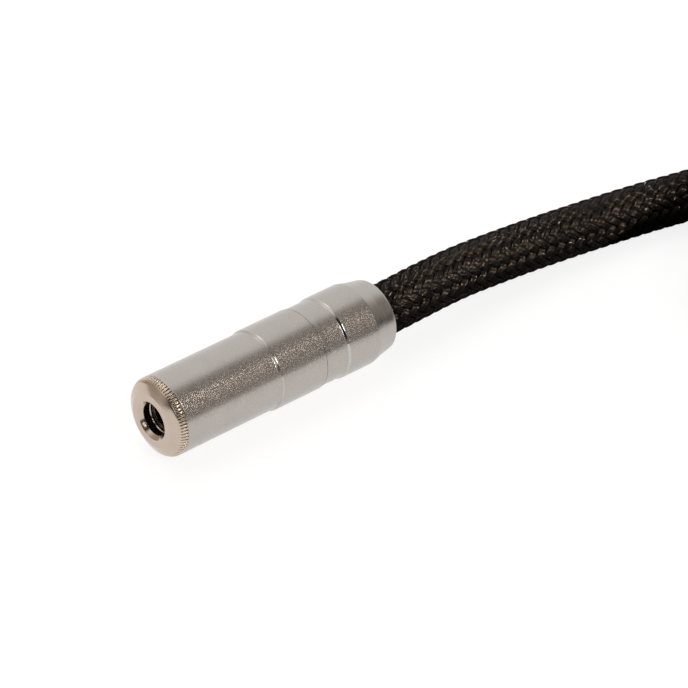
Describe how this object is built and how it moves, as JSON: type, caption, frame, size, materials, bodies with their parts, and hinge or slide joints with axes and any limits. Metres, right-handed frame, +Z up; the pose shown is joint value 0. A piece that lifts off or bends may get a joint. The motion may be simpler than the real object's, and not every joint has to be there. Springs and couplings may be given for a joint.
{
  "type": "in-line audio jack socket on a braided lead",
  "caption": "Turned metal in-line jack socket with a knurled nickel bush and a tapered tail, on a black braided lead wound in a coil that ends in a matching plug.",
  "frame": {"origin": "on the surface that the socket lies on, under the middle of its length", "axes": "+X along the socket from its mouth to its cable, +Z up"},
  "size_m": [0.2199, 0.1509, 0.0212],
  "materials": {
    "blasted_aluminium": "bead-blasted, clear anodised, with bright chamfers",
    "nickel_plate": "warm satin nickel on turned brass",
    "contact_strip": "bright phosphor bronze",
    "black_moulding": "moulded phenolic",
    "fibre": "vulcanised fibre",
    "screw_steel": "zinc plated",
    "chuck_nylon": "natural nylon",
    "braid": "braided black monofilament",
    "jacket": "soft matt jacket",
    "wire_white": "wire insulation",
    "wire_red": "wire insulation",
    "copper": "twisted copper screen",
    "solder": "bright solder",
    "strap": "woven strap"
  },
  "bodies": {
    "shell": {"knurled_bush": "nickel_plate", "front_barrel": "blasted_aluminium", "tail_cap": "blasted_aluminium", "sleeve_ferrule": "nickel_plate", "contact_carrier": "black_moulding", "tip_lug": "contact_strip", "ring_lug": "contact_strip", "ground_strap": "contact_strip", "end_plate": "fibre", "end_plate_screws": "screw_steel", "spacer_ring": "fibre", "thrust_ring": "blasted_aluminium", "cable_chuck": "chuck_nylon", "cable_jacket": "jacket", "braid_end": "braid", "shrink_ring": "jacket", "tip_wire": "wire_white", "ring_wire": "wire_red", "screen_wire": "copper", "solder_joints": "solder", "cable_run": "braid", "cable_coil": "braid", "coil_ties": "strap", "plug_run": "braid", "plug_tip": "nickel_plate", "plug_tip_insulator": "black_moulding", "plug_ring": "nickel_plate", "plug_ring_insulator": "black_moulding", "plug_sleeve": "nickel_plate", "plug_bush": "nickel_plate", "plug_barrel": "blasted_aluminium", "plug_tail_cap": "blasted_aluminium", "plug_chuck": "chuck_nylon", "plug_thrust_ring": "blasted_aluminium", "plug_lugs": "contact_strip", "plug_lug_washers": "fibre", "plug_jacket": "jacket", "plug_braid_end": "braid", "plug_shrink_ring": "jacket", "plug_wires": "copper", "plug_solder": "solder"},
    "tip_contact": {"tip_spring": "contact_strip"},
    "ring_contact": {"ring_spring": "contact_strip"}
  },
  "joints": [
    {"name": "tip_contact_flex", "type": "hinge", "parent": "shell", "child": "tip_contact", "pos_m": [0.00575, 0, 0.0127], "axis": [0, 1, 0], "range_deg": [0, 10], "stiffness_Nm_per_rad": 0.01},
    {"name": "ring_contact_flex", "type": "hinge", "parent": "shell", "child": "ring_contact", "pos_m": [0.00575, 0, 0.0039], "axis": [0, -1, 0], "range_deg": [0, 2.5], "stiffness_Nm_per_rad": 0.01}
  ]
}
